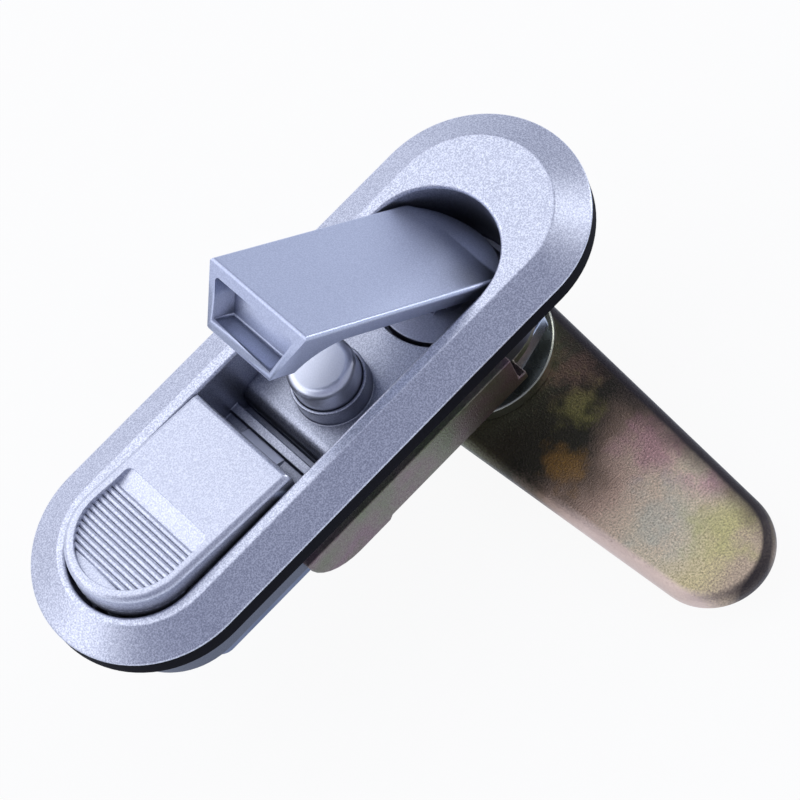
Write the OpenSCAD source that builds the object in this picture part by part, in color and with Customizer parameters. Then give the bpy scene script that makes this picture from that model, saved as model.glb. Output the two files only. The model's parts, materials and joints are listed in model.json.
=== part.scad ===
// Flush swing-handle panel lock: a pop-up handle, a ribbed push button, a sprung buffer stud
// and a long steel cam behind the door. X runs along the plate to the handle's pivot end,
// Z points out of the door, and Z = 0 is the door's face, under the gasket.
// The handle is drawn lifted and not turned, with the cam across the plate.

/* [Escutcheon] */
// Length of the face plate
plate_l = 116; // [112:1:130]
// Width of the face plate
plate_w = 40; // [39:0.5:48]
// Height of the face plate above the gasket
plate_h = 3.7; // [3.2:0.1:5]
// Height of the plain edge under the bevel
edge_h = 0.6; // [0.4:0.1:1]
// Width of the bevel in plan
bevel_w = 5.6; // [4:0.1:6]
// Thickness of the rubber gasket
gasket_t = 3.5; // [2:0.1:5]
// Width of the pocket between its side walls
pocket_w = 24.4; // [24.2:0.1:26]
// Thickness of the walls round the pocket
body_wall = 1.3; // [1:0.1:1.6]
// Depth of the housing's underside below the door face
body_depth = 15.3; // [14.5:0.1:18]
// Distance of the pocket's thumb end from the plate's end
pocket_end = 6.8; // [6.4:0.1:7.1]
// Distance of the spindle from the plate's other end
spindle_end = 29.8; // [29:0.1:31]
// Height of the pocket's middle floor, below the door face
floor_drop = 2.8; // [2.2:0.1:3.2]
// Radius of the threaded boss under the spindle
boss_r = 10; // [9:0.1:10.4]

/* [Handle] */
// Angle of the lifted handle
lift = 44; // [40:1:46]
// Height of the handle's pin above the door face
pin_z = 5.8; // [5.4:0.1:6.2]
// Distance of the handle's pin from the spindle towards the button
pin_back = 1.6; // [1.2:0.1:2]
// Reach of the handle from its pin to its free end
handle_l = 39.8; // [37:0.1:40]
// Width of the handle's top
handle_w = 23; // [21.5:0.1:23.4]
// Height of the handle's top above its pin
handle_rise = 3.2; // [3:0.1:3.6]
// Depth of the handle's side walls
handle_side = 4.5; // [4:0.1:5]
// Depth of the block at the handle's free end
block_h = 11.4; // [10.4:0.1:11.6]
// Length of the block at the handle's free end
block_l = 6; // [5:0.1:7]
// Width of the block at its bottom
block_low_w = 14.7; // [13:0.1:16]
// Thickness of the handle's top skin
skin = 1.7; // [1.4:0.1:1.8]
// Depth of the latch socket in the handle's end
socket_l = 4.6; // [4:0.1:5]
// Radius of both cross pins
pin_r = 1.2; // [1:0.05:1.3]

/* [Button] */
// Clearance from the button to the closed handle and the pocket's end
button_gap = 0.6; // [0.5:0.1:0.9]
// Width of the button
button_w = 23.3; // [20:0.1:23.4]
// Angle of the button before it is pressed
button_tilt = 5; // [4:0.5:5.5]
// Height of the button's top above its pin, over the pin
button_rise = 4.3; // [4:0.1:4.8]
// Thickness of the thumb plate
thumb_t = 4.4; // [3.6:0.1:4.4]
// Depth of the thumb scoop
scoop_d = 1.5; // [1:0.1:1.8]
// Number of grip ribs in the scoop
rib_count = 12; // [8:1:14]

/* [Latch and stud] */
// Thickness of the sliding latch bolt
bolt_t = 1.8; // [1.5:0.1:2]
// Reach of the bolt's nose into the handle
nose_l = 1.2; // [1:0.1:2]
// Width of the bolt's nose
nose_w = 9; // [7:0.1:9.6]
// Radius of the buffer stud
stud_r = 5.9; // [4.5:0.1:6]
// Distance of the stud from the handle's pin
stud_back = 23.9; // [22:0.1:25]

/* [Behind the door] */
// Thickness of the base plate under the housing
base_t = 2; // [1.5:0.1:2.5]
// Thickness of the clamp bracket's sheet
sheet_t = 2; // [1.5:0.1:2.2]
// Reach of the clamp bracket from the spindle towards the button
bracket_l = 49.6; // [44:0.1:52]
// Thickness of the hexagon nut on the boss
nut_t = 4; // [3.5:0.1:5]
// Width of that nut across its flats
nut_af = 24; // [22:0.1:24.2]
// Gap from the tight nut to the cam's collar, for slackening
slack = 3.3; // [3.3:0.1:4]
// Height of the collar above the cam
collar_h = 2.9; // [2.5:0.1:5]
// Radius of the collar
collar_r = 14; // [12:0.1:14.4]
// Radius of the spindle's shaft
shaft_r = 6; // [5:0.1:6.5]
// Thickness of the cam
cam_t = 3; // [2.5:0.1:4]
// Reach of the cam from the spindle to its tip
cam_l = 66.5; // [50:0.5:80]
// Width of the cam at the spindle
cam_root_w = 29.8; // [27:0.1:32]
// Width of the cam near its tip
cam_tip_w = 21.6; // [16:0.1:24]
// Side of the spindle's square end
square_w = 9; // [7:0.1:9.4]

/* [Hidden] */
$fn = 72;

// Clearances
run = 0.05;
loose = 0.3;
tiny = 0.1;

// Escutcheon and pocket
pocket_reach = plate_l / 2 - pocket_end;
spindle_x = plate_l / 2 - spindle_end;
lip_r = plate_w / 2 - bevel_w;
end_x = (plate_l - plate_w) / 2;
pocket_r = pocket_w / 2;
shell_r = pocket_r + body_wall;
plate_top = gasket_t + plate_h;
floor_z = -floor_drop;
hub_r = 11.5;
hub_z = -9;

// Handle, in its own frame: pin at the origin, closed, free end towards -X
pin_x = spindle_x - pin_back;
handle_low = handle_rise - handle_side;
closed_end = pin_x - handle_l;
tail_l = pin_back + handle_w / 2;
tail_solid = 6;
side_wall = 1.6;
ear_r = pin_r + 1.9;
ear_in = 6.4;
ear_out = 8.9;
lug_r = pin_r + 0.85;
lug_w = 6.4;
socket_top = 2.3;
socket_rim = 1.3;
socket_floor = 2;
edge_round = 0.6;
block_z = handle_rise - block_h;

// Button, in its own frame: its pin at the origin, level top
swing_room = 0.7;
button_end = closed_end - button_gap - swing_room;
button_front = 2.4;
button_pin_x = button_end - button_front;
button_pin_z = 4.7;
button_r = button_w / 2;
button_back = pocket_reach - button_gap + button_pin_x;
button_mid = button_back - button_r;
button_round = 1.2;
skirt_l = 13;
eye_r = pin_r + 1;
eye_in = 8.6;
skirt_low = -1.7;
rim_h = 1.4;
rim_t = 1.5;
scoop_rim = 1.9;
scoop_r = button_r - scoop_rim;
scoop_start = 0.415 * button_back;
scoop_slope = 0.095 * button_back;
scoop_step = 0.5;
scoop_corner = 1.2;
rib_end = 4;
rib_pitch = (button_back - scoop_start - scoop_slope - rib_end) / rib_count;
rib_r = 0.48 * rib_pitch;

// Latch bolt: a flat plate on two ledges, nose in the closed handle's socket
bolt_z = pin_z + block_z + socket_floor + loose;
bolt_top = bolt_z + bolt_t;
bolt_w = 19;
bolt_nose = closed_end + nose_l;
bolt_front = closed_end - 1;
bolt_back = 6.2 - pocket_reach;
bolt_corner = 4;
nose_lip = 0.5;
ledge_in = bolt_w / 2 - 1.7;
ledge_t = 2.4;
drive_x = bolt_back + 4.5;
drive_room = 8;
drive_l = 3.4;
drive_w = 6;
drive_h = 2.3;
wedge_top = 8.6;
wedge_x = drive_x + 0.8;
wedge_l = 2.4;
window_x = button_pin_x - 0.285 * button_back;
window_r = 3.6;
shelf_l = 8;
shelf_top = -2.2;
shelf_t = 2.2;
slot_front = closed_end + 5.2;
slot_z = -8.1;
floor_round = 3;
bar_back = slot_front - 3.2;
bar_l = 1.8;
bar_top = -4.5;
step_top = -5.4;
cavity_front = button_end - 1.6;
cavity_wall = 1.8;

// Springs
coil_wire = 0.7;
button_coil_r = 2.4;
latch_coil_r = 1.5;
stud_coil_r = 3.2;
pin_coil_r = pin_r + 0.55;
pin_wire = 0.5;

// Stud
stud_x = pin_x - stud_back;
stud_bore = stud_coil_r + 0.8;
stud_cap = 3;
stud_ring_r = stud_r + 0.7;
stud_ring_h = 4.2;
stud_top = pin_z + handle_rise - skin - loose;
stud_flange_r = stud_r + 0.8;
stud_flange_t = 1.4;
stud_round = 1.6;
stud_seat = floor_z - 2.2;

// Behind the door
body_z = -body_depth;
base_z = body_z - base_t;
base_front = spindle_x - boss_r - 3.5;
base_back = 9.2 - pocket_reach;
base_lap = 2;
base_corner = 3;
base_half = shell_r - 0.5;
web_z = base_z - sheet_t;
leg_in = shell_r + loose;
leg_out = leg_in + sheet_t;
leg_top = -10.3;
leg_front = spindle_x - 1.6;
bracket_back = spindle_x - bracket_l;
bend_r = 9;
foot_back = 0.675 * bracket_l;
foot_x = spindle_x - foot_back;
foot_h = 0.8;
bracket_rim = 2.5;
nut_z = web_z - nut_t;
collar_z = nut_z - slack;
boss_z = collar_z + loose;
cam_z = collar_z - collar_h;
cam_low = cam_z - cam_t;
washer_t = 1.6;
bolt_head_t = 4;
bolt_head_af = 10;
thread_r = 3;
thread_l = 14;
base_screw_r = 1.25;
base_grip = 4;
base_screw_l = base_t + base_grip;
base_holes = [for (x = [slot_front + 3.5, base_front - 3.2], y = [-1, 1]) [x, y * (base_half - 3.5)]];
seal_r = 0.85;
seal_room = 2;
root_r = cam_root_w / 2;
tip_r = cam_tip_w / 2;
tip_y = tip_r - cam_l;

// One rounded corner as points: centre c, radius r, from angle a to angle b
function arc(c, r, a, b, n = 8) = [for (i = [0:n]) let (t = a + (b - a) * i / n) c + r * [cos(t), sin(t)]];

// Points of a coil spring's centre line, along Z
function coil_point(r, h, turns, t) = [r * cos(360 * turns * t), r * sin(360 * turns * t), h * t];

// A coil spring of round wire along Z, from z = 0 to z = h over its centre line
module coil(r, wire, h, turns) {
  steps = 14 * turns;
  sides = 6;
  pitch_angle = atan2(h, 2 * PI * r * turns);
  rings = [for (i = [0:steps]) for (k = [0:sides - 1])
    let (t = i / steps, a = 360 * turns * t, b = 360 * k / sides, w = wire / 2,
         out = [cos(a), sin(a), 0],
         up = [sin(a) * sin(pitch_angle), -cos(a) * sin(pitch_angle), cos(pitch_angle)])
    coil_point(r, h, turns, t) + w * (cos(b) * out + sin(b) * up)];
  sides_faces = [for (i = [0:steps - 1]) for (k = [0:sides - 1])
    let (n = (k + 1) % sides, a = i * sides)
    [a + k, a + sides + k, a + sides + n, a + n]];
  start = [for (k = [0:sides - 1]) k];
  finish = [for (k = [sides - 1:-1:0]) steps * sides + k];
  polyhedron(rings, concat([start], [finish], sides_faces), convexity = 10);
}

// A flat slot shape with round ends, from x = a to x = b
module stadium(a, b, r) {
  translate([a + r, -r]) square([b - a - 2 * r, 2 * r]);
  translate([a + r, 0]) circle(r);
  translate([b - r, 0]) circle(r);
}

// A rectangle with round corners
module round_rect(x0, x1, half, r) {
  translate([x0 + r, -half]) square([x1 - x0 - 2 * r, 2 * half]);
  translate([x0, r - half]) square([x1 - x0, 2 * (half - r)]);
  for (x = [x0 + r, x1 - r], y = [r - half, half - r]) translate([x, y]) circle(r);
}

// A slab of a flat shape between two heights
module slab(z0, z1) {
  translate([0, 0, z0]) linear_extrude(z1 - z0) children();
}

// A shape drawn in X and Z, as thick as w along Y and centred
module across(w) {
  rotate([90, 0, 0]) translate([0, 0, -w / 2]) linear_extrude(w) children();
}

// A round bar along Y, centred on x, z
module bar_y(x, z, r, w) {
  translate([x, -w / 2, z]) rotate([-90, 0, 0]) cylinder(r = r, h = w);
}

// Face plate: a stadium with a straight edge and a sloping bevel
module face_plate() {
  slab(gasket_t, gasket_t + edge_h) stadium(-plate_l / 2, plate_l / 2, plate_w / 2);
  rise = plate_h - edge_h;
  for (x = [-end_x, end_x])
    translate([x, 0, gasket_t + edge_h]) cylinder(r1 = plate_w / 2, r2 = lip_r, h = rise);
  translate([-end_x, 0, gasket_t + edge_h]) rotate([90, 0, 90]) linear_extrude(2 * end_x)
    polygon([[-plate_w / 2, 0], [plate_w / 2, 0], [lip_r, rise], [-lip_r, rise]]);
}

// Die-cast housing: face plate, pocket, button cavity, hub recess and threaded boss
module housing() {
  color("silver") difference() {
    union() {
      face_plate();
      slab(body_z, gasket_t) stadium(-pocket_reach - body_wall, spindle_x + shell_r, shell_r);
      translate([spindle_x, 0, boss_z]) cylinder(r = boss_r, h = body_z - boss_z);
    }
    difference() {
      slab(floor_z, plate_top + tiny) stadium(-pocket_reach, spindle_x + pocket_r, pocket_r);
      translate([stud_x, 0, floor_z]) cylinder(r = stud_ring_r, h = stud_ring_h);
    }
    // Button cavity, open below where the base plate covers it
    translate([base_back + base_lap, -pocket_r, body_z - tiny])
      cube([cavity_front - base_back - base_lap, pocket_w, floor_z - body_z + 2 * tiny]);
    // Slot in front of the button, with a step and a cross bar, and the floor's rounded edge
    difference() {
      translate([cavity_front + cavity_wall, -pocket_r, slot_z])
        cube([slot_front - cavity_front - cavity_wall, pocket_w, floor_z - slot_z + tiny]);
      translate([cavity_front, -pocket_r, slot_z])
        cube([bar_back - cavity_front, pocket_w, step_top - slot_z]);
      translate([bar_back, -pocket_r, slot_z]) cube([bar_l, pocket_w, bar_top - slot_z]);
    }
    across(pocket_w) translate([slot_front, floor_z - floor_round]) difference() {
      translate([-tiny, 0]) square([floor_round + tiny, floor_round + tiny]);
      translate([floor_round, 0]) circle(floor_round);
    }
    translate([spindle_x, 0, hub_z]) cylinder(r = pocket_r, h = plate_top - hub_z);
    translate([spindle_x, 0, hub_z - seal_room]) cylinder(r = shaft_r + seal_room, h = seal_room + tiny);
    translate([spindle_x, 0, boss_z - tiny]) cylinder(r = shaft_r + run, h = hub_z - boss_z + 2 * tiny);
    // Stud bore, its wider spring chamber and the pin holes
    translate([stud_x, 0, body_z - tiny]) cylinder(r = stud_r + run, h = body_depth + plate_top);
    translate([stud_x, 0, body_z - tiny]) cylinder(r = stud_flange_r + loose, h = stud_seat - body_z + tiny);
    bar_y(button_pin_x, button_pin_z, pin_r, 2 * shell_r - 1);
    for (p = base_holes) translate([p[0], p[1], body_z - tiny]) cylinder(r = base_screw_r, h = base_screw_l);
  }
  // Ledges that carry the latch bolt
  color("silver") for (y = [-pocket_r - tiny, ledge_in])
    translate([bolt_back + bolt_corner, y, bolt_z - tiny - ledge_t])
    cube([cavity_front - bolt_back - bolt_corner + tiny, pocket_r - ledge_in + tiny, ledge_t]);
  // Shelf under the button's spring
  color("silver") translate([window_x - shelf_l / 2, -pocket_r - tiny, shelf_top - shelf_t])
    cube([shelf_l, pocket_w + 2 * tiny, shelf_t]);
}

// Rubber gasket under the face plate
module gasket() {
  color("black") slab(0, gasket_t) difference() {
    stadium(-plate_l / 2 + tiny, plate_l / 2 - tiny, plate_w / 2 - tiny);
    stadium(-pocket_reach - body_wall - loose, spindle_x + shell_r + loose, shell_r + loose);
  }
}

// Zinc-plated base plate that closes the mechanism from below
module base_plate() {
  color("lightsteelblue") difference() {
    slab(base_z, body_z) round_rect(base_back, base_front, base_half, base_corner);
    for (p = base_holes) translate([p[0], p[1], base_z - tiny])
      cylinder(r1 = 2 * base_screw_r + tiny, r2 = base_screw_r + tiny, h = base_screw_r + tiny);
    for (p = base_holes) translate([p[0], p[1], base_z]) cylinder(r = base_screw_r + tiny, h = base_t + tiny);
  }
}

// Countersunk screws of the base plate, flush with its underside
module base_screws() {
  color("lightsteelblue") for (p = base_holes) translate([p[0], p[1], base_z]) {
    cylinder(r1 = 2 * base_screw_r, r2 = base_screw_r, h = base_screw_r);
    cylinder(r = base_screw_r, h = base_screw_l);
  }
}

// Passivated steel channel that grips the back of the door, held by the nut on the boss
module clamp_bracket() {
  color("darkkhaki") {
    slab(web_z, base_z) difference() {
      union() {
        translate([bracket_back + bend_r, -leg_out]) square([spindle_x - bracket_back - bend_r, 2 * leg_out]);
        translate([spindle_x, 0]) circle(boss_r + bracket_rim);
      }
      translate([spindle_x, 0]) circle(boss_r + loose);
    }
    for (y = [-leg_out, leg_in]) translate([0, y + sheet_t, 0]) rotate([90, 0, 0]) linear_extrude(sheet_t)
      polygon(concat([[leg_front, web_z], [leg_front, leg_top], [bracket_back, leg_top]],
        arc([bracket_back + bend_r, web_z - foot_h + bend_r], bend_r, 180, 270),
        [[foot_x, web_z - foot_h], [foot_x + foot_h, web_z]]));
  }
}

// Thin hexagon nut on the boss
module boss_nut() {
  color("lightsteelblue") translate([spindle_x, 0, nut_z]) difference() {
    rotate(15) cylinder(r = nut_af / sqrt(3), h = nut_t, $fn = 6);
    translate([0, 0, -tiny]) cylinder(r = boss_r + run, h = nut_t + 2 * tiny);
  }
}

// Spindle: turntable with a lug for the handle's pin, round shaft and square end
module spindle() {
  color("silver") difference() {
    union() {
      difference() {
        translate([spindle_x, 0, hub_z + tiny]) cylinder(r = hub_r, h = floor_z - hub_z - tiny);
        translate([pin_x, 0, pin_z]) rotate([0, lift, 0])
          translate([-plate_w, -plate_w, handle_low - loose]) cube(2 * plate_w);
      }
      across(lug_w) {
        translate([pin_x, pin_z]) circle(lug_r);
        polygon([[pin_x - lug_r, pin_z], [pin_x + lug_r, pin_z], [pin_x + lug_r, floor_z - 1],
          [pin_x - 2 * lug_r, floor_z - 1]]);
      }
      translate([spindle_x, 0, collar_z]) cylinder(r = shaft_r, h = hub_z - collar_z + 2 * tiny);
      slab(cam_low + tiny, collar_z + tiny) translate([spindle_x, 0]) square(square_w, center = true);
    }
    bar_y(pin_x, pin_z, pin_r, lug_w + 1);
    translate([spindle_x, 0, cam_low]) cylinder(r = thread_r, h = thread_l);
  }
}

// Rubber ring that seals the shaft
module spindle_seal() {
  color("black") translate([spindle_x, 0, hub_z - seal_r - tiny]) rotate_extrude()
    translate([shaft_r + seal_r + tiny, 0]) circle(seal_r);
}

// Steel pin through the lug and the handle's ears
module handle_pin() {
  color("lightsteelblue") bar_y(pin_x, pin_z, pin_r, 2 * ear_out);
}

// Pair of torsion coils on the pin, which lift the handle
module handle_spring() {
  length = ear_in - lug_w / 2 - 2 * loose - pin_wire;
  color("gray") for (y = [-1, 1])
    translate([pin_x, y * (lug_w / 2 + loose + pin_wire / 2) - (y < 0 ? length : 0), pin_z])
    rotate([-90, 0, 0]) coil(pin_coil_r, pin_wire, length, 3);
}

// Thick collar that spaces the cam from the boss
module cam_collar() {
  color("darkkhaki") slab(cam_z, collar_z) translate([spindle_x, 0]) difference() {
    circle(collar_r);
    square(square_w + 2 * run, center = true);
  }
}

// Long tapered steel cam on the spindle's square
module cam() {
  lean = asin((root_r - tip_r) / -tip_y);
  color("darkkhaki") slab(cam_low, cam_z) translate([spindle_x, 0]) difference() {
    union() {
      circle(root_r);
      translate([0, tip_y]) circle(tip_r);
      polygon([for (p = [[root_r, 0, 1], [root_r, 0, -1], [tip_r, tip_y, -1], [tip_r, tip_y, 1]])
        [p[2] * p[0] * cos(lean), p[1] - p[0] * sin(lean)]]);
    }
    square(square_w + 2 * run, center = true);
  }
}

// Washer under the head of the cam's bolt
module cam_washer() {
  color("lightsteelblue") slab(cam_low - washer_t, cam_low) translate([spindle_x, 0]) difference() {
    circle(1.5 * square_w / 2 + 2);
    circle(thread_r + tiny);
  }
}

// Hexagon bolt that holds the cam on the spindle
module cam_bolt() {
  color("lightsteelblue") translate([spindle_x, 0, cam_low - washer_t]) {
    translate([0, 0, -bolt_head_t]) cylinder(r = bolt_head_af / sqrt(3), h = bolt_head_t, $fn = 6);
    cylinder(r = thread_r, h = washer_t + thread_l - 2);
  }
}

// Half width of the handle at a height in its own frame
function handle_half(z) = handle_w / 2 - (handle_rise - z) * (handle_w - block_low_w) / 2 / block_h;

// Cross section of the handle: a trapezium with round upper corners, narrowed by w all round
module handle_section(w, top) {
  lean = atan((handle_w - block_low_w) / 2 / block_h);
  reach = handle_half(top) - w / cos(lean) - edge_round / tan((90 - lean) / 2);
  low = handle_half(block_z) - w / cos(lean);
  polygon(concat(arc([reach, top - edge_round], edge_round, -lean, 90),
    arc([-reach, top - edge_round], edge_round, 90, 180 + lean), [[-low, block_z], [low, block_z]]));
}

// Section swept along the handle, from x = a to x = b
module handle_bar(a, b, w, top) {
  translate([a, 0, 0]) rotate([90, 0, 90]) linear_extrude(b - a) handle_section(w, top);
}

// Die-cast handle in its own frame, closed
module handle_closed() {
  arch_r = handle_low - block_z;
  inner_end = block_l - handle_l;
  difference() {
    union() {
      intersection() {
        handle_bar(-handle_l, tail_l, 0, handle_rise);
        across(handle_w) polygon(concat([[tail_l, handle_low], [tail_l, handle_rise]],
          arc([edge_round - handle_l, handle_rise - edge_round], edge_round, 90, 180),
          [[-handle_l, block_z]], arc([inner_end + arch_r, block_z], arch_r, 180, 90)));
        slab(block_z, handle_rise) {
          translate([-handle_l, -handle_w / 2]) square([handle_l + tail_l - handle_w / 2, handle_w]);
          translate([tail_l - handle_w / 2, 0]) circle(handle_w / 2);
        }
      }
      for (y = [-1, 1]) translate([0, y * (ear_in + ear_out) / 2, 0]) bar_y(0, 0, ear_r, ear_out - ear_in);
    }
    // Hollow underside between the end block and the tail, clear of the ears
    difference() {
      handle_bar(inner_end + 2, tail_l - tail_solid, side_wall, handle_rise - skin);
      for (y = [-1, 1]) translate([0, y * (ear_in + ear_out) / 2, 0]) bar_y(0, 0, ear_r, ear_out - ear_in);
    }
    bar_y(0, 0, lug_r + loose, 2 * ear_in);
    bar_y(0, 0, pin_r + run, 2 * ear_out + tiny);
    // Socket for the latch nose
    intersection() {
      handle_bar(-handle_l - 1, socket_l - handle_l, socket_rim, handle_rise - socket_top);
      translate([-handle_l - 1, -handle_w, block_z + socket_floor])
        cube([socket_l + 1, 2 * handle_w, block_h]);
    }
  }
}

// Handle lifted about its pin
module handle() {
  color("silver") translate([pin_x, 0, pin_z]) rotate([0, lift, 0]) handle_closed();
}

// Outline of the button in plan, drawn in by w
module button_plan(w) {
  translate([-button_mid, w - button_r]) square([button_mid + button_front - w, button_w - 2 * w]);
  translate([-button_mid, 0]) circle(button_r - w);
}

// Thumb plate with round upper edges
module thumb_plate() {
  top = button_rise - button_round;
  hull() {
    slab(button_rise - thumb_t, top) button_plan(0, $fn = 48);
    translate([-button_mid, 0, top]) rotate_extrude($fn = 48)
      translate([button_r - button_round, 0]) circle(button_round, $fn = 24);
    for (y = [-1, 1]) translate([button_front - button_round, y * (button_r - button_round), top])
      sphere(button_round, $fn = 24);
  }
}

// Plan of the thumb scoop: straight in front with round corners, round behind
module scoop_plan() {
  front = -scoop_start - scoop_corner;
  side = scoop_r - scoop_corner;
  translate([-button_mid, -scoop_r]) square([button_mid + front, 2 * scoop_r]);
  translate([-button_mid, -side]) square([button_mid - scoop_start, 2 * side]);
  for (y = [-side, side]) translate([front, y]) circle(scoop_corner, $fn = 24);
  translate([-button_mid, 0]) circle(scoop_r);
}

// Half ring under the thumb end, which closes the gap to the pocket
module thumb_rim() {
  low = button_rise - thumb_t - rim_h;
  translate([-button_mid, 0, low]) difference() {
    cylinder(r = button_r, h = rim_h + tiny, $fn = 48);
    translate([0, 0, -tiny]) cylinder(r = button_r - rim_t, h = rim_h + 3 * tiny, $fn = 48);
    translate([0, -button_w, -tiny]) cube([button_w, 2 * button_w, rim_h + 3 * tiny]);
  }
}

// Push button: thumb plate with a ribbed scoop, side skirts, pin eyes and a driving wedge
module button() {
  deep = button_rise - scoop_d;
  plate_low = button_rise - thumb_t;
  color("silver") translate([button_pin_x, 0, button_pin_z]) rotate([0, button_tilt, 0]) difference() {
    union() {
      difference() {
        thumb_plate();
        intersection() {
          slab(deep, button_rise + 1) scoop_plan();
          across(button_w) polygon([[-scoop_start, button_rise - scoop_step],
            [-scoop_start - scoop_slope, deep], [-button_back, deep], [-button_back, button_rise + 1],
            [-scoop_start, button_rise + 1]]);
        }
      }
      intersection() {
        for (i = [0:rib_count - 1])
          bar_y(-scoop_start - scoop_slope - rib_pitch * (i + 0.6), deep, rib_r, button_w);
        slab(plate_low + 1, button_rise) scoop_plan();
      }
      thumb_rim();
      for (y = [-button_r, eye_in]) {
        translate([-skirt_l, y, skirt_low])
          cube([skirt_l + button_front - button_round, button_r - eye_in, plate_low - skirt_low + tiny]);
        translate([0, y + (button_r - eye_in) / 2, 0]) bar_y(0, 0, eye_r, button_r - eye_in);
      }
    }
    bar_y(0, 0, pin_r + run, button_w);
  }
  wedge_low = bolt_top + loose;
  wedge_lean = (wedge_top - wedge_low) * drive_l / drive_h;
  color("silver") across(drive_w) polygon([[wedge_x, wedge_low], [wedge_x + wedge_l, wedge_low],
    [wedge_x + wedge_l, wedge_top], [wedge_x - wedge_lean, wedge_top]]);
}

// Steel pin that carries the button
module button_pin() {
  color("lightsteelblue") bar_y(button_pin_x, button_pin_z, pin_r, 2 * shell_r - 1);
}

// Coil under the button
module button_spring() {
  low = shelf_top + coil_wire / 2;
  high = button_pin_z + button_rise - thumb_t + (button_pin_x - window_x) * tan(button_tilt) - coil_wire;
  color("gray") translate([window_x, 0, low]) coil(button_coil_r, coil_wire, high - low, 5);
}

// Flat latch bolt: sloped nose, windows for the spring and the wedge, and a driven lug
module latch_bolt() {
  color("gainsboro") {
    slab(bolt_z, bolt_top) difference() {
      round_rect(bolt_back, bolt_front, bolt_w / 2, bolt_corner);
      stadium(window_x - window_r - 3, window_x + window_r + 1, window_r);
      translate([drive_x, -drive_w / 2 - loose]) square([drive_room, drive_w + 2 * loose]);
    }
    across(nose_w) polygon([[bolt_front - 1, bolt_z], [bolt_nose, bolt_z], [bolt_nose, bolt_z + nose_lip],
      [bolt_front, bolt_top], [bolt_front - 1, bolt_top]]);
    across(drive_w) polygon([[drive_x, bolt_top], [drive_x - drive_l, bolt_top],
      [drive_x - drive_l, bolt_top + drive_h]]);
  }
}

// Coil behind the latch bolt
module latch_spring() {
  color("gray") translate([bolt_back - coil_wire / 2, 0, (bolt_z + bolt_top) / 2]) rotate([0, -90, 0])
    coil(latch_coil_r, coil_wire, pocket_reach + bolt_back - coil_wire - loose, 4);
}

// Hollow buffer stud with a round-edged flat top and a flange below
module buffer_stud() {
  foot = stud_seat - stud_flange_t;
  color("silver") translate([stud_x, 0, 0]) rotate_extrude() polygon(concat([[stud_bore, foot],
    [stud_flange_r, foot], [stud_flange_r, stud_seat - tiny], [stud_r, stud_seat - tiny]],
    arc([stud_r - stud_round, stud_top - stud_round], stud_round, 0, 90),
    [[0, stud_top], [0, stud_top - stud_cap], [stud_bore, stud_top - stud_cap]]));
}

// Coil inside the stud
module stud_spring() {
  low = body_z + coil_wire / 2;
  high = stud_top - stud_cap - coil_wire / 2 - tiny;
  color("gray") translate([stud_x, 0, low]) coil(stud_coil_r, coil_wire, high - low, 8);
}

housing();
gasket();
base_plate();
base_screws();
clamp_bracket();
boss_nut();
spindle();
spindle_seal();
handle_pin();
handle_spring();
cam_collar();
cam();
cam_washer();
cam_bolt();
handle();
button();
button_pin();
button_spring();
latch_bolt();
latch_spring();
buffer_stud();
stud_spring();
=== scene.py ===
import json
import math

import bmesh
import bpy
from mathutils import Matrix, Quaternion, Vector

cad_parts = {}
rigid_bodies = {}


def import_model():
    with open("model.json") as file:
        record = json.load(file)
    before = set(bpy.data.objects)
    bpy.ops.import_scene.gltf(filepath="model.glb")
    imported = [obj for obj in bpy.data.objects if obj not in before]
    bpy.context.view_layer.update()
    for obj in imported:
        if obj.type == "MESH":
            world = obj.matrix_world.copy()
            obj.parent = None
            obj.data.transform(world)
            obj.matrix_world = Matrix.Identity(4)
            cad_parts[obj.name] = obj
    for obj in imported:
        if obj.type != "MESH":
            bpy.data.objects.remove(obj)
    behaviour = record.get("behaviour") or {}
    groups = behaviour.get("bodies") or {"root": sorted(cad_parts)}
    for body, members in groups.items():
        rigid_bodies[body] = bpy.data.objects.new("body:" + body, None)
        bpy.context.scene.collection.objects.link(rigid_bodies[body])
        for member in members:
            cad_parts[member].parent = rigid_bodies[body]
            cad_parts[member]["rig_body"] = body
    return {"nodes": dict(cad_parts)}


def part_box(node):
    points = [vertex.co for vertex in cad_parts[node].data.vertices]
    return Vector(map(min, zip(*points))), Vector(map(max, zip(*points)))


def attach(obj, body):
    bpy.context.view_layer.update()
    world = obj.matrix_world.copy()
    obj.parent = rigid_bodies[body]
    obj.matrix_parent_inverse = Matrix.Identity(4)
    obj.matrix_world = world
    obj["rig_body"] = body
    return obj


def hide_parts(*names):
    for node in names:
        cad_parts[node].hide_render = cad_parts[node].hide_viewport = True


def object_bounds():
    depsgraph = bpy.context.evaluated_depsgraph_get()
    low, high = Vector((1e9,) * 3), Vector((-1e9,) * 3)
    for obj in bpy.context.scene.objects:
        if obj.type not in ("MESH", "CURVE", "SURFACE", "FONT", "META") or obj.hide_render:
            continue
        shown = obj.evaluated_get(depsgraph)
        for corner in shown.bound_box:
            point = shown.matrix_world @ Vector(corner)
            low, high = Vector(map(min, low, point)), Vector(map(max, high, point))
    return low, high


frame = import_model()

cad_box = [list(corner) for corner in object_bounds()]


# Housing
# The escutcheon is one zinc die-casting: a stadium face plate with a sloping bevel, the handle's pocket
# and a threaded boss. It is sand-blasted and then chromed, which leaves a fine matte grain.
MM = 0.001


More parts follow.
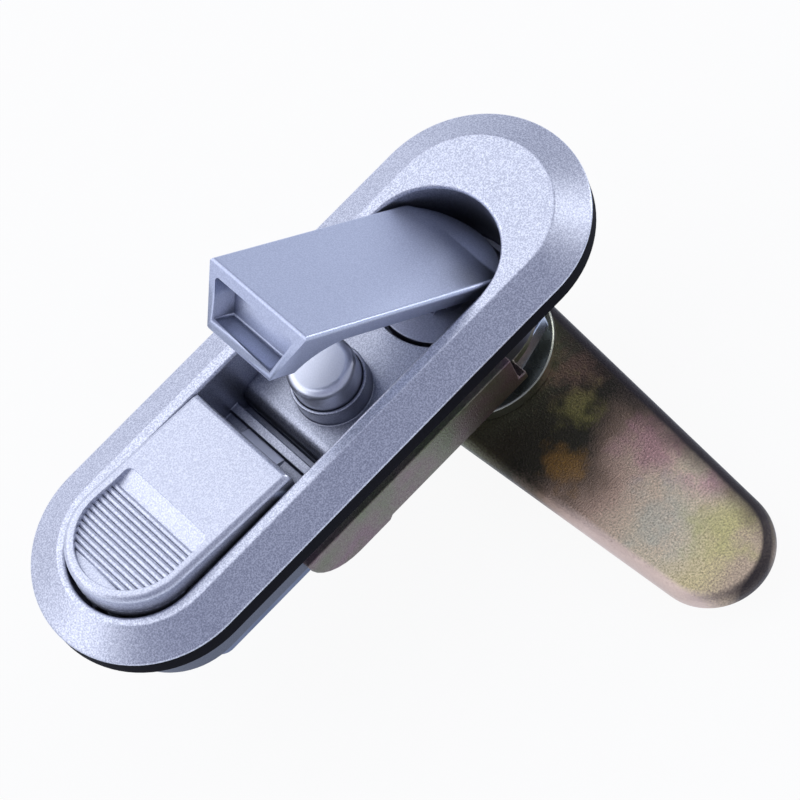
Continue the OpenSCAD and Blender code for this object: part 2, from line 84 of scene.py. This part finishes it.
class Shade:
    """A shader socket that takes part in sums and makes the other nodes of its material."""

    def __init__(self, tree, socket=None):
        self.tree = tree
        self.socket = socket

    def node(self, kind, settings=None, sockets=None, output=0):
        made = self.tree.nodes.new(kind)
        for key, value in (settings or {}).items():
            if key == "stops":
                elements = made.color_ramp.elements
                while len(elements) < len(value):
                    elements.new(0.5)
                for element, (place, colour) in zip(elements, value):
                    element.position = place
                    element.color = (*colour, 1)
            else:
                setattr(made, key, value)
        for key, value in (sockets or {}).items():
            if isinstance(value, Shade):
                self.tree.links.new(value.socket, made.inputs[key])
            else:
                made.inputs[key].default_value = value
        return Shade(self.tree, made.outputs[output] if made.outputs else None)

    def math(self, operation, a, b):
        return self.node("ShaderNodeMath", {"operation": operation}, {0: a, 1: b})

    def __add__(self, other):
        return self.math("ADD", self, other)

    def __sub__(self, other):
        return self.math("SUBTRACT", self, other)

    def __rsub__(self, other):
        return self.math("SUBTRACT", other, self)

    def __mul__(self, other):
        return self.math("MULTIPLY", self, other)

    __radd__ = __add__
    __rmul__ = __mul__


def new_finish(name):
    """An empty material and the maker of its nodes."""
    made = bpy.data.materials.new(name)
    made.use_nodes = True
    made.node_tree.nodes.clear()
    return made, Shade(made.node_tree)


def close_finish(tree, sockets):
    """Ends a material with one principled shader."""
    shader = tree.node("ShaderNodeBsdfPrincipled", None, sockets)
    tree.node("ShaderNodeOutputMaterial", None, {"Surface": shader})


def mottle(tree, grain_mm, detail=2.0, roughness=0.5, stretch=(1, 1, 1)):
    """Noise fixed to the piece, with features about grain_mm wide."""
    place = tree.node("ShaderNodeTexCoord", output="Object")
    spread = tree.node("ShaderNodeMapping", None, {"Vector": place, "Scale": stretch})
    return tree.node("ShaderNodeTexNoise", None, {
        "Vector": spread, "Scale": 1 / (grain_mm * MM), "Detail": detail, "Roughness": roughness})


def tint(tree, factor, stops):
    """A colour that runs through stops, each a place from 0 to 1 with its colour."""
    return tree.node("ShaderNodeValToRGB", {"stops": stops}, {"Fac": factor})


def relief(tree, height, depth_mm, strength):
    """A bump of depth_mm between the lowest and the highest of height."""
    return tree.node("ShaderNodeBump", None, {
        "Strength": strength, "Distance": depth_mm * MM, "Height": height})


def fade(tree, value, start, end, low, high, settings=None):
    """low where value is at start and high where it is at end, held beyond both."""
    return tree.node("ShaderNodeMapRange", settings, {
        "Value": value, "From Min": start, "From Max": end, "To Min": low, "To Max": high})


def cover(tree, share, under, over):
    """The colour under, with a share of the colour over on it."""
    return tree.node("ShaderNodeMix", {"data_type": "RGBA"}, {0: share, 6: under, 7: (*over, 1)}, output=2)


def towards(tree, vector, direction):
    """How far vector points in a direction, from -1 to 1 for unit ones."""
    return tree.node(
        "ShaderNodeVectorMath", {"operation": "DOT_PRODUCT"}, {0: vector, 1: direction}, output="Value")


def openness(tree, reach_mm):
    """How much a spot sees past whatever stands within reach_mm of it."""
    return tree.node("ShaderNodeAmbientOcclusion", {"samples": 8}, {"Distance": reach_mm * MM}, output="AO")


def sand_chrome(name, light, dark, roughness, hollow=0.75, corner_dark=0.5, raw_below_mm=None):
    """Chrome over sand-blasted zinc: a fine bright and dark speckle with a slow drift of gloss.

    Recesses that see less of the sky than hollow, and tight corners, get painted shade: a dark colour laid
    over the chrome where shade falls. Below the height given last, the casting is darkened as well: painted
    shade for the shadow under the plate's overhang."""
    made, tree = new_finish(name)
    grain = mottle(tree, 0.26, 3.0, 0.65)
    drift = mottle(tree, 14, 2.0)
    colour = tint(tree, grain, [(0.42, dark), (0.60, light)])
    # Painted shade in recesses and in tight corners, laid into the colour.
    thin = fade(tree, openness(tree, reach_mm=14), hollow, 0.18, 0.0, 0.85)
    colour = cover(tree, thin, colour, (0.14, 0.15, 0.19))
    corner = fade(tree, openness(tree, reach_mm=1), 0.92, 0.55, 0.0, corner_dark)
    colour = cover(tree, corner, colour, (0.16, 0.17, 0.23))
    # Painted shade below a given height, as in the shadow under the plate's overhang.
    if raw_below_mm is not None:
        place = tree.node("ShaderNodeTexCoord", output="Object")
        height = tree.node("ShaderNodeSeparateXYZ", None, {"Vector": place}, output="Z")
        raw = fade(tree, height, raw_below_mm * MM, (raw_below_mm - 3) * MM, 0.0, 0.9)
        colour = cover(tree, raw, colour, (0.06, 0.07, 0.10))
    close_finish(tree, {
        "Base Color": colour, "Metallic": 0.9,
        "Roughness": roughness + 0.12 * grain + 0.06 * drift, "Normal": relief(tree, grain, 0.05, 0.25)})
    return made


merge_gap = 0.002 * MM
flat_angle = math.radians(0.6)
edge_angle = math.radians(26)


def rounded(node, edge_mm, finish, steps=3, room_mm=None, share=None):
    """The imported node's form with its edges rounded, as casting, blasting and plating leave them.

    An edge stays sharp where another edge at its ends is shorter than room_mm; share gives the part of
    edge_mm that an edge gets, from the edge's middle."""
    source = frame["nodes"][node]
    mesh = bpy.data.meshes.new(node + "_form")
    form = bmesh.new()
    form.from_mesh(source.data)
    bmesh.ops.remove_doubles(form, verts=form.verts, dist=merge_gap)
    bmesh.ops.dissolve_limit(form, angle_limit=flat_angle, verts=form.verts, edges=form.edges)
    weight = form.edges.layers.float.new("bevel_weight_edge")
    room = (1.5 * edge_mm if room_mm is None else room_mm) * MM
    for edge in form.edges:
        if len(edge.link_faces) == 2 and edge.calc_face_angle() > edge_angle:
            middle = (edge.verts[0].co + edge.verts[1].co) / 2
            clear = all(near.calc_length() > room for end in edge.verts for near in end.link_edges)
            edge[weight] = (share(middle) if share else 1.0) if clear else 0.0
            edge.smooth = edge[weight] > 0
    form.to_mesh(mesh)
    form.free()
    for face in mesh.polygons:
        face.use_smooth = True
    piece = bpy.data.objects.new(node + "_form", mesh)
    bpy.context.scene.collection.objects.link(piece)
    bevel = piece.modifiers.new("rounded_edges", "BEVEL")
    bevel.width = edge_mm * MM
    bevel.segments = steps
    bevel.limit_method = "WEIGHT"
    bevel.use_clamp_overlap = False
    even = piece.modifiers.new("flat_faces_stay_flat", "WEIGHTED_NORMAL")
    even.keep_sharp = True
    mesh.materials.append(finish)
    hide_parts(node)
    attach(piece, source["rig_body"])


thumb_end_x = -39 * MM
pivot_end_x = 28.2 * MM
lip_level = 7.1 * MM
rim_reach = 12.8 * MM


def pocket_rim(spot):
    """The pocket's upper rim is rounded most; it is nearer the middle line than the lip's outer edge."""
    past_ends = max(thumb_end_x - spot.x, spot.x - pivot_end_x, 0)
    on_rim = spot.z > lip_level and math.hypot(past_ends, spot.y) < rim_reach
    return 1.0 if on_rim else 0.4


plate_chrome = sand_chrome("plate_chrome", (0.89, 0.91, 0.98), (0.52, 0.54, 0.62), 0.27, raw_below_mm=-9)
rounded("housing", 0.65, plate_chrome, steps=4, room_mm=0.5, share=pocket_rim)


# Gasket and seal
# One moulded ring of black rubber keeps water out between the face plate and the door, and a small
# rubber ring does the same round the spindle's shaft.
rubber, tree = new_finish("black_rubber")
pores = mottle(tree, 0.7)
close_finish(tree, {
    "Base Color": tint(tree, pores, [(0.3, (0.004, 0.004, 0.006)), (0.7, (0.010, 0.010, 0.014))]),
    "Roughness": 0.65 + 0.25 * pores, "Specular IOR Level": 0.08,
    "Normal": relief(tree, pores, 0.05, 0.3)})
rounded("gasket", 0.2, rubber)


def finished(node, finish):
    """A small or hidden node keeps its packed form and gets its finish."""
    materials = frame["nodes"][node].data.materials
    materials.clear()
    materials.append(finish)


finished("spindle_seal", rubber)


# Spindle
# The turntable under the handle's root, a casting with a lug for the handle's pin; its round shaft and
# square end go down through the boss. It is matte chromed, a little darker than the plate.
spindle_chrome = sand_chrome("spindle_chrome", (0.62, 0.64, 0.74), (0.46, 0.48, 0.58), 0.30)
rounded("spindle", 0.25, spindle_chrome)


# Handle
# A hollow die-cast lever with a thin skin, round edges and a socket in its free end for the latch.
# Its chrome gets a darker, bluer colour than the plate's: painted shade for its top, which tilts away from
# the light.
handle_chrome = sand_chrome("handle_chrome", (0.65, 0.69, 0.82), (0.53, 0.57, 0.70), 0.28, hollow=0.42)
rounded("handle", 0.5, handle_chrome)


# Handle's pin and springs
# A ground steel pin, zinc plated, is pressed into the spindle's lug; two torsion coils of spring wire
# on it lift the handle.
def zinc(name, light, dark, roughness):
    """Bright zinc plating on steel: faint clouds and fine drawing lines."""
    made, tree = new_finish(name)
    cloud = mottle(tree, 4.5, 3.0)
    lines = mottle(tree, 1.1, 2.0, stretch=(1, 8, 8))
    close_finish(tree, {
        "Base Color": tint(tree, cloud, [(0.3, dark), (0.7, light)]), "Metallic": 1.0,
        "Roughness": roughness + 0.15 * cloud, "Normal": relief(tree, lines, 0.03, 0.15)})
    return made


blue_zinc = zinc("blue_white_zinc", (0.62, 0.69, 0.80), (0.46, 0.53, 0.66), 0.18)
spring_wire = zinc("spring_wire", (0.34, 0.34, 0.36), (0.20, 0.20, 0.22), 0.25)
finished("handle_pin", blue_zinc)
finished("handle_spring", spring_wire)


# Button
# A die-cast push button with a thumb scoop and grip ribs, chromed like the plate. It tips on a
# zinc-plated steel pin, and a coil of spring wire under it brings it back.
button_chrome = sand_chrome(
    "button_chrome", (0.88, 0.90, 0.97), (0.60, 0.62, 0.70), 0.30, hollow=0.3, corner_dark=0.0)
button_pivot = Vector((-16.9, 0, 4.7)) * MM
button_slope = math.tan(math.radians(5))
scoop_rise = 1.5 * MM


def upper_edges(spot):
    """The scoop and the top are rounded, measured from the sloping button's pin."""
    rise = spot.z - button_pivot.z + button_slope * (spot.x - button_pivot.x)
    return 1.0 if rise > scoop_rise else 0.0


rounded("button", 0.15, button_chrome, steps=2, share=upper_edges)
finished("button_pin", blue_zinc)
finished("button_spring", spring_wire)


# Latch bolt
# A flat steel slide with a sloped nose, milled and zinc plated. A coil of spring wire behind it pushes
# it towards the handle.
latch_zinc = zinc("latch_zinc", (0.70, 0.72, 0.78), (0.58, 0.60, 0.67), 0.24)
rounded("latch_bolt", 0.2, latch_zinc, steps=2)
finished("latch_spring", spring_wire)


# Buffer stud
# A hollow stud with a flat top, turned and chromed. It stands in the pocket's floor on a coil of spring
# wire and cushions the closed handle.
stud_chrome = sand_chrome("stud_chrome", (0.90, 0.92, 0.98), (0.84, 0.86, 0.92), 0.24, hollow=0.5)
rounded("buffer_stud", 0.25, stud_chrome)
finished("stud_spring", spring_wire)


# Base plate
# A punched steel plate, zinc plated, that closes the mechanism from below. Four countersunk screws
# hold it to the housing.
dull_zinc = zinc("dull_zinc", (0.20, 0.23, 0.32), (0.13, 0.16, 0.24), 0.24)
rounded("base_plate", 0.25, dull_zinc)
finished("base_screws", dull_zinc)


# Clamp bracket
# A pressed steel channel that grips the back of the door. It is zinc plated with a yellow passivate,
# whose thin film shimmers from olive to pink.
# Where the painted highlight on the cam's outer left edge fades in.
pale_from = -28 * MM
pale_full = -38 * MM


def passivate(tree, film, stops, stains=(), burn=0.0, edge_dark=0.0):
    """Yellow passivate over a pickled steel sheet: a film of drifting colours on an orange-peel grain.

    Each stain is a place on the sheet in mm, a radius in mm and the film's colour there. The next argument
    darkens the colour by its share. The last one darkens upper edges that lean to the right and the tip, as
    painted shade, and lightens the outer left one, as a painted highlight."""
    grain = mottle(tree, 0.36, 3.0, 0.65)
    worn = mottle(tree, 4, 3.0, 0.6)
    colour = tint(tree, film + 0.20 * (grain - 0.5), stops)
    place = tree.node("ShaderNodeTexCoord", output="Object")
    flat = tree.node("ShaderNodeVectorMath", {"operation": "MULTIPLY"}, {0: place, 1: (1, 1, 0)})
    for (x, y), radius, shade in stains:
        middle = (x * MM, y * MM, 0)
        away = tree.node(
            "ShaderNodeVectorMath", {"operation": "DISTANCE"}, {0: flat, 1: middle}, output="Value")
        away = away + (worn - 0.5) * (3.0 * radius * MM)
        stain = fade(tree, away, 0.0, 1.3 * radius * MM, 0.75, 0.0, {"interpolation_type": "SMOOTHSTEP"})
        colour = cover(tree, stain, colour, shade)
    # Darkens the colour by the given share; on the cam that is a band along its right edge and tip.
    colour = cover(tree, burn, colour, (0.06, 0.05, 0.045))
    colour = cover(tree, 1.8 * (grain - 0.36), colour, (0.10, 0.08, 0.07))
    # Painted shade on upper edges that face right and towards the tip, and a painted highlight on the outer
    # left edge, set by which way the surface faces.
    facing = tree.node("ShaderNodeTexCoord", output="Normal")
    lean = towards(tree, facing, (0.80, -0.55, 0))
    along = tree.node("ShaderNodeSeparateXYZ", None, {"Vector": place}, output="Y")
    burnt = fade(tree, lean, 0.02, 0.25, 0.0, edge_dark)
    bare = fade(tree, lean, 0.70, 0.92, 1.0, 0.2)
    colour = cover(tree, burnt * bare, colour, (0.04, 0.035, 0.04))
    pale = fade(tree, lean, -0.02, -0.30, 0.0, edge_dark)
    outer = fade(tree, along, pale_from, pale_full, 0.0, 1.0)
    colour = cover(tree, pale * outer, colour, (0.85, 0.66, 0.55))
    close_finish(tree, {
        "Base Color": colour, "Metallic": 1.0, "Roughness": 0.20 + 0.24 * grain + 0.08 * worn,
        "Normal": relief(tree, grain, 0.16, 0.9)})


bracket_passivate, tree = new_finish("bracket_passivate")
passivate(tree, mottle(tree, 16, 3.0), [
    (0.36, (0.20, 0.23, 0.13)), (0.48, (0.27, 0.23, 0.19)), (0.56, (0.29, 0.19, 0.21)),
    (0.66, (0.24, 0.20, 0.16))])
rounded("clamp_bracket", 0.3, bracket_passivate)


# Nut
# A thin hexagon nut of steel, zinc plated. It is screwed onto the housing's boss and pulls the bracket
# against the door.
rounded("boss_nut", 0.3, blue_zinc)


# Collar and cam
# A turned collar with a thin passivate spaces the long pressed steel cam from the boss. The cam is yellow
# passivated, and its film runs from olive at the root over pink and purple tan to yellow green; the darkest
# olive near the root is painted reflection of the shaded underside of the plate. Its upper edges that face
# right and the tip get painted shade, its outer left edge a painted highlight, and a darker band runs along
# its right edge and tip.
collar_zinc = zinc("collar_zinc", (0.52, 0.52, 0.43), (0.38, 0.38, 0.29), 0.20)
rounded("cam_collar", 0.4, collar_zinc)
cam_low, cam_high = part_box("cam")
cam_passivate, tree = new_finish("cam_passivate")
place = tree.node("ShaderNodeTexCoord", output="Object")
across = tree.node("ShaderNodeSeparateXYZ", None, {"Vector": place}, output="X")
along = tree.node("ShaderNodeSeparateXYZ", None, {"Vector": place}, output="Y")
film = along * (1 / cam_low.y) + 0.30 * mottle(tree, 11, 3.0) - 0.15
drift = (mottle(tree, 5, 3.0) - 0.5) * (4 * MM)
side_taper = 0.08
tip_slant = 0.3
# A darker band within about 5 mm of the right edge and the tip.
from_right = cam_high.x + side_taper * along - across
from_tip = along - cam_low.y + (cam_high.x - across) * tip_slant
nearest = from_right.math("MINIMUM", from_right, from_tip) + drift
burnt_rim = fade(tree, nearest, 5 * MM, 1 * MM, 0.0, 0.85)
# The darkest stops, near the root, are painted reflection of the plate's shaded underside; the others are
# the film's own colours.
film_stops = [
    (0.10, (0.20, 0.21, 0.13)), (0.24, (0.11, 0.10, 0.06)), (0.36, (0.06, 0.06, 0.04)),
    (0.46, (0.33, 0.23, 0.16)), (0.54, (0.72, 0.50, 0.37)), (0.64, (0.86, 0.67, 0.48)),
    (0.74, (0.86, 0.73, 0.51)), (0.84, (0.84, 0.71, 0.38)), (0.96, (0.66, 0.51, 0.36))]
film_stains = [
    ((35, -17), 6, (0.48, 0.28, 0.20)), ((32, -21), 5, (0.54, 0.48, 0.15)),
    ((22, -27), 4, (0.56, 0.30, 0.08)), ((35, -36), 6, (0.64, 0.35, 0.36)),
    ((26, -47), 7, (0.68, 0.66, 0.52)), ((36, -49), 5, (0.72, 0.38, 0.44)),
    ((32, -55), 7, (0.70, 0.65, 0.28))]
passivate(tree, film, film_stops, film_stains, burn=burnt_rim, edge_dark=0.9)
collar_low, collar_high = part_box("cam_collar")
cam_root = (collar_low + collar_high) / 2
hole_reach = 8 * MM
upper_level = cam_high.z - 0.1 * MM


def upper_outline(spot):
    """Blanking draws the sheet down along its upper outline only, not at the square hole."""
    at_hole = math.hypot(spot.x - cam_root.x, spot.y - cam_root.y) < hole_reach
    return 1.0 if spot.z > upper_level and not at_hole else 0.0


rounded("cam", 2.2, cam_passivate, steps=6, room_mm=0.5, share=upper_outline)


# Cam's bolt and washer
# A hexagon bolt and a plain washer of steel, both zinc plated. The bolt is screwed into the spindle's
# square end and holds the cam on it.
finished("cam_washer", blue_zinc)
finished("cam_bolt", blue_zinc)


# Floor
# A sheet of pale studio paper just under the lowest piece, wide enough to have no edge in view. Where
# the camera or a reflection sees it, it glows by itself, white or a little blue.
paper, tree = new_finish("pale_paper")
fibre = mottle(tree, 6, 2.0)
sheet = tree.node("ShaderNodeBsdfDiffuse", None, {
    "Color": tint(tree, fibre, [(0.3, (0.88, 0.88, 0.89)), (0.7, (0.92, 0.92, 0.93))])})
rays = [tree.node("ShaderNodeLightPath", output=name)
        for name in ("Is Camera Ray", "Is Glossy Ray", "Is Transmission Ray")]
white = tint(tree, rays[0], [(0.0, (0.78, 0.84, 1.0)), (1.0, (1, 1, 1))])
glow = tree.node("ShaderNodeEmission", None, {"Color": white, "Strength": 1.0})
seen = rays[0].math("MAXIMUM", rays[0].math("MAXIMUM", rays[0], rays[1]), rays[2])
tree.node("ShaderNodeOutputMaterial", None, {
    "Surface": tree.node("ShaderNodeMixShader", None, {0: 0.93 * seen, 1: sheet, 2: glow})})
floor_half = 4.0
level = cad_box[0][2] - 0.2 * MM
corners = [(-floor_half, -floor_half, level), (floor_half, -floor_half, level),
           (floor_half, floor_half, level), (-floor_half, floor_half, level)]
floor_mesh = bpy.data.meshes.new("floor")
floor_mesh.from_pydata(corners, [], [(0, 1, 2, 3)])
floor_mesh.materials.append(paper)
floor = bpy.data.objects.new("floor", floor_mesh)
bpy.context.scene.collection.objects.link(floor)


# Light
# A wide soft lamp behind and above makes the upward faces pale; smaller ones, one of them low, light the
# pivot end and the thumb end. The room is brighter at the back and left, and darker above the front left.
aim = Vector((7.39, -13.48, 3.5)) * MM


def soft_lamp(name, place, size, brightness):
    """A square soft lamp turned to the part, with a brightness that doesn't depend on its size."""
    data = bpy.data.lights.new(name, "AREA")
    data.size = size
    data.energy = brightness * math.pi * size * size
    data.color = (0.91, 0.94, 1.0)
    made = bpy.data.objects.new(name, data)
    bpy.context.scene.collection.objects.link(made)
    made.location = place
    made.rotation_mode = "QUATERNION"
    made.rotation_quaternion = (Vector(place) - aim).to_track_quat("Z", "Y")


soft_lamp("key", (-0.16, 0.46, 0.80), size=1.15, brightness=0.80)
soft_lamp("right", (0.68, -0.14, 0.60), size=0.35, brightness=1.6)
soft_lamp("low", (0.85, -0.20, 0.12), size=0.30, brightness=4.2)
soft_lamp("side", (-0.75, 0.20, 0.45), size=0.45, brightness=0.8)
room = bpy.data.worlds.new("room")
room.use_nodes = True
room.node_tree.nodes.clear()
bpy.context.scene.world = room
tree = Shade(room.node_tree)
gaze = tree.node("ShaderNodeTexCoord", output="Generated")
backward = towards(tree, gaze, (-0.64, 0.77, 0))
walls = tint(tree, 0.5 + 0.5 * backward, [
    (0.0, (0.30, 0.32, 0.42)), (0.45, (0.44, 0.47, 0.60)), (0.66, (0.46, 0.49, 0.62)),
    (0.86, (0.78, 0.81, 0.97)), (1.0, (0.58, 0.61, 0.75))])
overhead = towards(tree, gaze, (-0.35, -0.38, 0.86))
shade = fade(tree, overhead, 0.68, 0.88, 0.0, 0.85)
sky = cover(tree, shade, walls, (0.22, 0.24, 0.36))
backdrop = tree.node("ShaderNodeLightPath", output="Is Camera Ray")
sky = cover(tree, backdrop, sky, (1, 1, 1))
tree.node("ShaderNodeOutputWorld", None, {
    "Surface": tree.node("ShaderNodeBackground", None, {"Color": sky, "Strength": 1.0})})


# Camera
# A long lens looks down on the plate from the button's near side, rolled so that the plate climbs from
# the lower left of the frame to the upper right.
azimuth = math.radians(-16.68)
elevation = math.radians(61.31)
roll = math.radians(30.71)
distance = 583.2 * MM
back = Vector((math.sin(azimuth) * math.cos(elevation), -math.cos(azimuth) * math.cos(elevation),
               math.sin(elevation)))
lens = bpy.data.cameras.new("camera")
lens.lens = 162.2
lens.sensor_width = 36
lens.clip_start = 0.01
camera = bpy.data.objects.new("camera", lens)
bpy.context.scene.collection.objects.link(camera)
camera.location = aim + back * distance
camera.rotation_mode = "QUATERNION"
camera.rotation_quaternion = back.to_track_quat("Z", "Y")
camera.rotation_quaternion.rotate(Quaternion(back, -roll))
bpy.context.scene.camera = camera
bpy.context.scene.view_settings.view_transform = "Standard"
